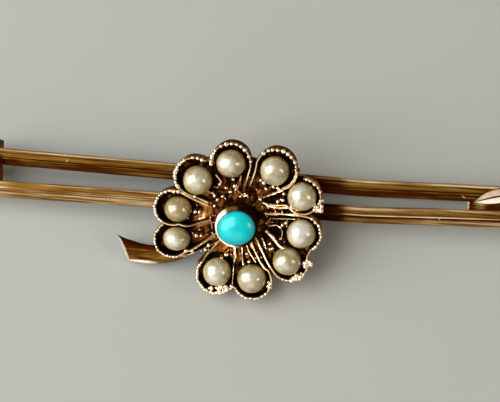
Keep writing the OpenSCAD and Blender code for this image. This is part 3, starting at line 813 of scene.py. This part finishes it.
# %% The bars' light, shade and wear from edge to edge
# Darkness across each bar: painted highlights on the upper edges, painted shade beside the ridges,
# and wear.
SHADING_AND_WEAR_ACROSS = {
    (1, "left"): [(-0.54, 0.85), (-0.45, 0.98), (-0.28, 0.84), (-0.1, 0.92), (0.02, 0.85),
                  (0.09, 0.62), (0.14, 0.62), (0.25, 0.82), (0.36, 0.74), (0.44, 0.5),
                  (0.5, 0.2)],
    (-1, "left"): [(-0.6, 0.5), (-0.5, 0.4), (-0.16, 0.3), (-0.12, 0.65), (-0.02, 0.5),
                   (0.03, 0.2), (0.09, 0.3), (0.2, 0.82), (0.3, 0.66), (0.38, 0.4),
                   (0.44, 0.15)],
    (1, "right"): [(-0.54, 1.05), (-0.3, 0.85), (-0.2, 1.1), (-0.13, 1.2), (-0.06, 0.75),
                   (0.2, 0.7), (0.36, 0.68), (0.44, 0.32), (0.5, 0.1)],
    (-1, "right"): [(-0.6, 0.45), (-0.3, 0.34), (-0.18, 0.4), (-0.15, 1.4), (-0.07, 1.4),
                    (-0.045, 0.0), (0.03, 0.1), (0.08, 0.55), (0.2, 0.66), (0.3, 0.55),
                    (0.38, 0.3), (0.44, 0.2)],
}


def between(stops, at):
    """The value at that place along (place, value) stops, straight from stop to stop."""
    for (a, low), (b, high) in zip(stops, stops[1:]):
        if at < b:
            return low + (high - low) * max(at - a, 0) / (b - a)
    return stops[-1][1]


def across_bar(p):
    """Which bar a point is on, and its place across it in bar widths from the ridge."""
    side = 1 if p.y > bar_y(p.x, 0) else -1
    return side, (p.y - bar_y(p.x, side)) / BAR_W - RIDGE_AT[side]


def bar_shading_and_wear(p):
    """Painted shade below the ridge, the flower's painted shadow beside it and painted shade at
    the hinge end, and a painted highlight along the upper edge.
    """
    side, share = across_bar(p)
    # The flower's painted shadow on the bars to its right, strongest on the lower bar.
    beside = math.exp(-max(abs(p.x - 6.5) - 1.2, 0) ** 2 / 0.5) if p.x > 0 else 0
    # Painted shade on the upper bar's lower half at the hinge end.
    at_hinge = min(max(-18.4 - p.x, 0) / 3, 1) if side > 0 and share < 0 else 0
    # Painted light and shade with wear, band by band across the bar.
    dark = between(SHADING_AND_WEAR_ACROSS[side, "left" if p.x < 0 else "right"], share)
    cast_shadows = (0.8 if side < 0 else 0.4) * beside + at_hinge
    return dark + cast_shadows + 0.12 * noise.noise(Vector((p.x * 0.5, side, 0)))


def bar_satin(p):
    """Satin on the lower bar's lower flange and ridge, and along both upper edges."""
    side, share = across_bar(p)
    if side < 0 and (share < -0.16 or abs(share) < 0.06):
        return 1.0
    return 0.7 if share > 0.33 else 0.0


# %% Sweep the two bars
bm = bmesh.new()
for side, ridge_at in RIDGE_AT.items():
    xs = [-BAR_LEFT + (BAR_LEFT + BAR_RIGHT) * i / 120 for i in range(121)]
    path = [Vector((x, bar_y(x, side), 0)) for x in xs]
    sweep(bm, bar_section(ridge_at), stations(path, BAR_W, BAR_TOP, 0.0))
hand_made(bm, 0.015, 0.6)
set_patina_and_shading(bm, bar_shading_and_wear, bar_satin)
finish_piece(bm, "bars", bar_gold, "gold", "gold_frame", sharp=50)

# %% [markdown]
# ## Nicks
# A few small nicks on the bars catch the light. They could be cut into the strips, but only
# their bright burr shows, so a bead pressed long and flat stands for each.

# %% Lay the nicks on the bars
NICK_R, NICK_Z, NICK_SHAPE = 0.08, 0.46, (2.4, 0.7, 0.5, 1)
# Columns: x, which bar, place across it from the ridge, direction in degrees
NICKS = [
    (-14.8, 1, 0.15, 60), (-11.2, -1, -0.15, 110), (18.2, 1, -0.2, 150), (16.3, -1, -0.08, 140),
]
bm = bmesh.new()
for x, side, share, heading in NICKS:
    at = Vector((x, bar_y(x, side) + (share + RIDGE_AT[side]) * BAR_W, NICK_Z))
    lying = Matrix.Rotation(math.radians(heading), 4, "Z") @ Matrix.Diagonal(NICK_SHAPE)
    bmesh.ops.create_uvsphere(bm, u_segments=8, v_segments=5, radius=NICK_R,
                              matrix=Matrix.Translation(at) @ lying)
set_patina_and_shading(bm, lambda p: 0.25, lambda p: 1.0)
finish_piece(bm, "nicks", satin_gold, "gold", "gold_frame", sharp=180)

# %% [markdown]
# ## Stem
# The stem is a flat curved bar that leaves the flower through the cleft, widens and ends in
# a slanting cut. A ring could be cut down to it, but a sweep lets its width change. It is
# swept a little too long, and a plane then cuts it as a saw would.

# %% Sweep the stem
STEM_R, STEM_END_W, STEM_ROOT_W, STEM_T = 7.2, 1.7, 1.1, 0.75
STEM_TO, STEM_SWEEP, STEM_HIDDEN = CLEFT_TURN + 89, 56, 16
STEM_LEAVES_AT, STEM_STEPS, STEM_SPARE = 0.755, 48, 14
stem_centre = turned(LOBE_REACH * STEM_LEAVES_AT, CLEFT_TURN) - turned(STEM_R, STEM_TO) + FLOWER
STEM_SECTION = [
    (-0.5, 0.1), (-0.49, 0.8), (-0.44, 0.94), (-0.3, 0.98), (-0.1, 1.0), (0.1, 1.0), (0.25, 0.99),
    (0.31, 0.97), (0.36, 0.93), (0.47, 0.72), (0.5, 0.1), (0.42, 0.0), (-0.42, 0.0),
]
stem_from = STEM_TO - STEM_SWEEP
path, widths = [], []
for i in range(-STEM_SPARE, STEM_STEPS + 1):
    share = i / STEM_STEPS
    width = STEM_END_W + (STEM_ROOT_W - STEM_END_W) * share + 0.9 * min(share, 0) - 0.04
    turn = stem_from + (STEM_SWEEP + STEM_HIDDEN) * share
    path.append(stem_centre + turned(STEM_R - width / 2, turn))
    widths.append(width)
bottom = FLOWER_BACK + 0.1 - STEM_T
places = []
for place_at, width in zip(stations(path, 1.0, bottom + STEM_T, bottom), widths):
    places.append(place_at @ Matrix.Diagonal((width, 1, 1, 1)))
bm = bmesh.new()
sweep(bm, STEM_SECTION, places)
print("stem:", len(bm.verts), "vertices before the cut")

# %% Cut the stem's end
STEM_CUT, CUT_TURN, CUT_BACK = math.radians(30), math.radians(36), 1.3
cut_at = stem_centre + turned(STEM_R - STEM_END_W / 2, stem_from - CUT_BACK)
cut_at.z = bottom + STEM_T
on_page = Matrix.Rotation(math.radians(stem_from) + CUT_TURN, 3, "Z")
cut_facing = (on_page @ Matrix.Rotation(-STEM_CUT, 3, "X")) @ Vector((0, 1, 0))
whole = bm.verts[:] + bm.edges[:] + bm.faces[:]
cut = bmesh.ops.bisect_plane(bm, geom=whole, plane_co=cut_at, plane_no=cut_facing,
                             clear_inner=True)["geom_cut"]
cut_edges = [g for g in cut if isinstance(g, bmesh.types.BMEdge)]
cap = bmesh.ops.holes_fill(bm, edges=cut_edges, sides=0)["faces"]
bmesh.ops.inset_individual(bm, faces=cap, thickness=0.02)
hand_made(bm, 0.02)
facet = {tuple(v.co) for face in cap for v in face.verts}
print("stem:", len(bm.verts), "vertices after it")

# %% Paint light and shade on the stem
EDGE_BAND = 0.515


def stem_shading(p):
    """A painted highlight on the cut and painted light along the outer edge, painted shade
    darker towards the inner edge, and a lighter amber patch round x = -6.
    """
    # A painted highlight on the cut face.
    if tuple(p) in facet:
        return 0.0
    across = (p - stem_centre).to_2d().length - (STEM_R - STEM_END_W / 2)
    # Painted light along the outer edge.
    if across > EDGE_BAND:
        return 0.25 + 0.3 * min(max(p.x + 7.5, 0), 1)
    # A lighter amber patch round x = -6, and painted shade towards the inner edge.
    amber = 0.3 * math.exp(-((p.x + 6.0) / 1.2) ** 2)
    return 0.95 - 0.35 * across - amber


set_patina_and_shading(bm, stem_shading, lambda p: 0.6 if stem_shading(p) < 0.35 else 0.0)
finish_piece(bm, "flower_stem", stem_gold, "gold", "gold_frame", sharp=35)

# %% [markdown]
# ## Leaves at the ends
# A pointed leaf with a groove along its midrib lies slanting over the upper bar at each
# end. A flat leaf could be drawn and creased, but its groove would have to be cut. A roof
# shaped section that has the groove already is swept along the midrib instead, and swells
# to an almond by its width alone.

# %% The leaves' places and section
LEAF_L, LEAF_W, LEAF_RISE, LEAF_EDGE, LEAF_BOW = 4.2, 1.2, 0.28, 0.2, 0.2
LEAF_SECTION = [
    (-0.5, 0.0), (-0.5, 0.55), (-0.44, 0.75), (-0.12, 0.94), (-0.09, 0.97), (-0.06, 0.9),
    (-0.03, 0.8), (0.03, 0.8), (0.06, 0.9), (0.09, 0.97), (0.12, 0.92), (0.44, 0.45),
    (0.5, 0.25), (0.5, 0.0),
]
LEAVES = {
    1: (Vector((19.05, bar_y(19.05, 1) - 0.60, BAR_TOP - 0.1)), turned(1, 14.5)),
    -1: (Vector((-19.9, bar_y(-19.9, 1) - 0.45, BAR_TOP - 0.1)), turned(1, 168)),
}


def midrib(end, share):
    """At a share of a leaf's length: a point on its midrib, its cross direction and swell."""
    root, heading = LEAVES[end]
    swell = max(4 * share * (1 - share), 0.02)
    across = Vector((-heading.y, heading.x, 0)) * end
    return root + heading * LEAF_L * share + across * LEAF_BOW * swell, across, swell


# %% Sweep the two leaves
LEAF_STEPS = 32
bm = bmesh.new()
for end, (_, heading) in LEAVES.items():
    places = []
    for i in range(LEAF_STEPS + 1):
        at, across, swell = midrib(end, i / LEAF_STEPS)
        up = Vector((0, 0, LEAF_EDGE + LEAF_RISE * swell))
        lying = Matrix((across * end * LEAF_W * swell, up, heading))
        places.append(Matrix.Translation(at) @ lying.transposed().to_4x4())
    sweep(bm, LEAF_SECTION, places)


def leaf_patina_and_shading(p):
    """Painted light on the faces, brightest on the lower one, and painted shade in the groove,
    along the low edges and on the left leaf's inner point.
    """
    end = 1 if p.x > 0 else -1
    root, heading = LEAVES[end]
    at, across, swell = midrib(end, min(max((p - root).dot(heading) / LEAF_L, 0), 1))
    off = (p - at).dot(across) / (LEAF_W * swell)
    # Painted shade on the left leaf's inner point.
    if end < 0 and (p - root).length < 0.7:
        return 1.4
    # Painted shade in the groove.
    if abs(off) < 0.045:
        return 1.0
    # Painted shade along the low edges by the bar.
    if abs(off) > 0.48 and p.z < BAR_TOP + 0.05:
        return 0.6
    # Painted light: the lower face lighter than the upper one.
    return 0.3 if off > 0 else 0.0


set_patina_and_shading(bm, leaf_patina_and_shading, lambda p: 0.6)
finish_piece(bm, "leaves", satin_gold, "gold", "gold_frame", sharp=30)

# %% [markdown]
# ## The back
# Plates, post and hinge are plain workshop parts that the photograph hardly shows, so boxes
# and cylinders do. The plates join bars that aren't parallel, so they are swept with the
# bars' distance as their width.

# %% Helpers for plain parts
def box(bm, low, high):
    """An upright box between two corners."""
    size, middle = Vector(high) - Vector(low), (Vector(low) + Vector(high)) / 2
    placed = Matrix.Translation(middle) @ Matrix.Diagonal((*size, 1))
    bmesh.ops.create_cube(bm, size=1.0, matrix=placed)


def rod(bm, at, radius, length, axis):
    """A cylinder round Y or Z."""
    turn = Matrix.Rotation(math.pi / 2, 4, "X") if axis == "Y" else Matrix()
    bmesh.ops.create_cone(bm, cap_ends=True, segments=48, radius1=radius, radius2=radius,
                          depth=length, matrix=Matrix.Translation(at) @ turn)


# %% Make the plates, the post and the hinge's lugs
HINGE_X, PIN_Y, HINGE_Z, HINGE_R, HINGE_L, KNUCKLE_L = 21.4, 0.45, -1.9, 0.75, 3.3, 1.2
PLATE_T, PLATE_L, PLATE_RIGHT, PLATE_LEFT = 0.25, 3.2, 18.55, 20.4
POST_R, POST_L, POST_Z = 2.2, 1.4, 0.9
LUG_GAP, INTO_PLATE = 0.04, 0.1
PLATE = [
    (-0.5, 0.0), (-0.5, 1.0), (-0.25, 1.0), (-0.1, 1.0),
    (0.05, 1.0), (0.2, 1.0), (0.5, 1.0), (0.5, 0.0),
]
bm = bmesh.new()
for left in (PLATE_RIGHT, -PLATE_LEFT - PLATE_L):
    steps = [0.0, 0.06, 0.12, 0.18] + [0.4 * i for i in range(1, 8)] + [PLATE_L]
    path = [Vector((left + along, bar_y(left + along, 0), 0)) for along in steps]
    between_bars = lambda p: bar_y(p.x, 1) - bar_y(p.x, -1)
    sweep(bm, PLATE, stations(path, between_bars, 0.1, -PLATE_T))
lug_l = (HINGE_L - KNUCKLE_L) / 2 - LUG_GAP
for side in (1, -1):
    middle = PIN_Y + side * (HINGE_L - lug_l) / 2
    rod(bm, (-HINGE_X, middle, HINGE_Z), HINGE_R, lug_l, "Y")
    low = (-HINGE_X - HINGE_R, middle - lug_l / 2, HINGE_Z)
    box(bm, low, (-HINGE_X + HINGE_R, middle + lug_l / 2, -PLATE_T + INTO_PLATE))
rod(bm, (0, 0, POST_Z), POST_R, POST_L, "Z")


def fitting_patina_and_shading(p):
    """Dull behind and darker on the left lug's upper end, painted shade in front, a painted
    highlight on the right plate's inner edge and one painted lit patch.
    """
    if p.z < 0:
        return (0.7 if p.x < -20 and p.y > 1.6 else 0.35) + 0.3 * noise.noise(p * 0.7)
    # One painted lit patch on the right plate, in the bars' shade.
    lit_patch = math.exp(-((p.x - 19.6) ** 2 + (p.y - bar_y(p.x, 0)) ** 2) / 0.25)
    # A painted highlight on the right plate's inner edge, painted shade on the rest of its front.
    return 0.0 if abs(p.x - PLATE_RIGHT) < 0.14 else 1.2 - 1.15 * lit_patch


set_patina_and_shading(bm, fitting_patina_and_shading, lambda p: 1.0 if abs(p.x - PLATE_RIGHT) < 0.14 else 0.0)
finish_piece(bm, "back_fittings", bar_gold, "gold", "gold_frame", sharp=35)

# %% [markdown]
# ## Catch and pin
# The catch is a strip bent into a hook, open on one side, where the pin slips in. Its flat
# section is swept down from the plate and round under the pin, which keeps its corners
# square. The pin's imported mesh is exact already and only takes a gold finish.

# %% Bend the catch and finish the pin
CATCH_X, CATCH_Z, CATCH_R, CATCH_T, CATCH_W = 20.0, -2.733, 0.75, 0.28, 1.4
HOOK_TURN, HOOK_STEPS = 190, 24
hook = [Vector((CATCH_X, PIN_Y - CATCH_R + CATCH_T / 2, -PLATE_T + INTO_PLATE))]
for i in range(HOOK_STEPS + 1):
    turn = math.radians(180 + HOOK_TURN * i / HOOK_STEPS)
    outward = Vector((0, math.cos(turn), math.sin(turn)))
    hook.append(Vector((CATCH_X, PIN_Y, CATCH_Z)) + outward * (CATCH_R - CATCH_T / 2))
places = []
for i, p in enumerate(hook):
    along = (hook[min(i + 1, len(hook) - 1)] - hook[max(i - 1, 0)]).normalized()
    lying = Matrix((Vector((CATCH_W, 0, 0)), along.cross(Vector((1, 0, 0))) * CATCH_T, along))
    places.append(Matrix.Translation(p) @ lying.transposed().to_4x4())
bm = bmesh.new()
sweep(bm, [(-0.5, -0.4), (-0.46, -0.5), (0.46, -0.5), (0.5, -0.4),
           (0.5, 0.4), (0.46, 0.5), (-0.46, 0.5), (-0.5, 0.4)], places)
set_patina_and_shading(bm, lambda p: 0.35 + 0.3 * noise.noise(p * 0.7))
finish_piece(bm, "catch_hook", bar_gold, "gold", "gold_frame", sharp=35)

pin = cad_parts["pin"]
pin.data.materials.clear()
pin.data.materials.append(bar_gold)
print("pin:", len(pin.data.polygons), "faces")

# %% [markdown]
# ## Floor
# The brooch lies on a plain pale floor. A backdrop could curve up behind it, but this camera
# looks down and sees no horizon, so one large rough plane is enough.

# %% Set the floor
PAPER_GREY = (0.305, 0.315, 0.29, 1)
bpy.ops.mesh.primitive_plane_add(size=1.2)
floor = bpy.context.object
floor.name = "floor"
paper = bpy.data.materials.new("paper")
paper.use_nodes = True
paper_shader = paper.node_tree.nodes["Principled BSDF"]
paper_shader.inputs["Base Color"].default_value = PAPER_GREY
paper_shader.inputs["Roughness"].default_value = 0.9
floor.data.materials.append(paper)
print("floor:", tuple(round(side, 2) for side in floor.dimensions), "m")

# %% [markdown]
# ## Light
# Polished metal and pearls mirror their lights. Point lamps would give hard sparks, so these
# are panels. The key light is high on the left. A wider and weaker one stands in front, and a
# small warm one on the right puts a second spark on each pearl. A pale sky fills the shade.

# %% Set the lights and the sky
AIM = LAID @ Vector((0, 0, 2))
SKY_COLOUR, SKY_STRENGTH = (0.84, 0.82, 0.78, 1), 0.25


def soft_light(name, heading, distance, width, height, power, colour=(1, 1, 1)):
    """A panel of light that faces the brooch. The heading is in the level brooch's axes."""
    lamp = bpy.data.lights.new(name, "AREA")
    lamp.shape, lamp.size, lamp.size_y = "RECTANGLE", width, height
    lamp.energy, lamp.color = power, colour
    made = bpy.data.objects.new(name, lamp)
    away = (TURN.to_3x3() @ Vector(heading)).normalized()
    made.location = AIM + away * distance
    made.rotation_mode = "QUATERNION"
    made.rotation_quaternion = away.to_track_quat("Z", "Y")
    bpy.context.scene.collection.objects.link(made)
    print(f"{name} light: {width} by {height} m, {power} W")


soft_light("key", (-0.70, 0.26, 0.66), distance=0.32, width=0.33, height=0.42, power=2.25)
soft_light("front", (-0.3, -0.64, 0.74), distance=0.5, width=0.7, height=0.45, power=1.2)
soft_light("fill", (0.8, 0.15, 0.5), distance=0.4, width=0.12, height=0.16, power=0.45,
           colour=(1.0, 0.8, 0.55))
world = bpy.data.worlds.new("sky")
bpy.context.scene.world = world
world.use_nodes = True
world.node_tree.nodes["Background"].inputs["Color"].default_value = SKY_COLOUR
world.node_tree.nodes["Background"].inputs["Strength"].default_value = SKY_STRENGTH

# %% [markdown]
# ## Camera
# The photograph was taken almost straight above the flower, a little from the top right,
# with the camera turned slightly on its axis. A constraint could aim the camera, but not turn
# it so. Its three axes are therefore worked out for the level brooch and laid down with it.

# %% Set the camera
EYE, ROLLED = Vector((17.917, 52.956, 191.192)), math.radians(3.2)
SENSOR_MM, LENS_MM = 36.0, 172.8
back = Vector((0.087, 0.27, 0.96)).normalized()
level_right = Vector((0, 1, 0)).cross(back).normalized()
level_up = back.cross(level_right)
right = level_right * math.cos(ROLLED) + level_up * math.sin(ROLLED)
up = level_up * math.cos(ROLLED) - level_right * math.sin(ROLLED)
lens = bpy.data.cameras.new("camera")
lens.sensor_width, lens.lens = SENSOR_MM, LENS_MM
lens.clip_start, lens.clip_end = 0.01, 5.0
camera = bpy.data.objects.new("camera", lens)
camera.matrix_world = (Matrix.Translation(LAID @ EYE)
                       @ TURN @ Matrix((right, up, back)).transposed().to_4x4())
bpy.context.scene.collection.objects.link(camera)
bpy.context.scene.camera = camera
bpy.context.scene.view_settings.view_transform = "Standard"
print("camera at", tuple(round(x, 3) for x in camera.matrix_world.translation), "m")

# %% Finish
bpy.context.view_layer.update()
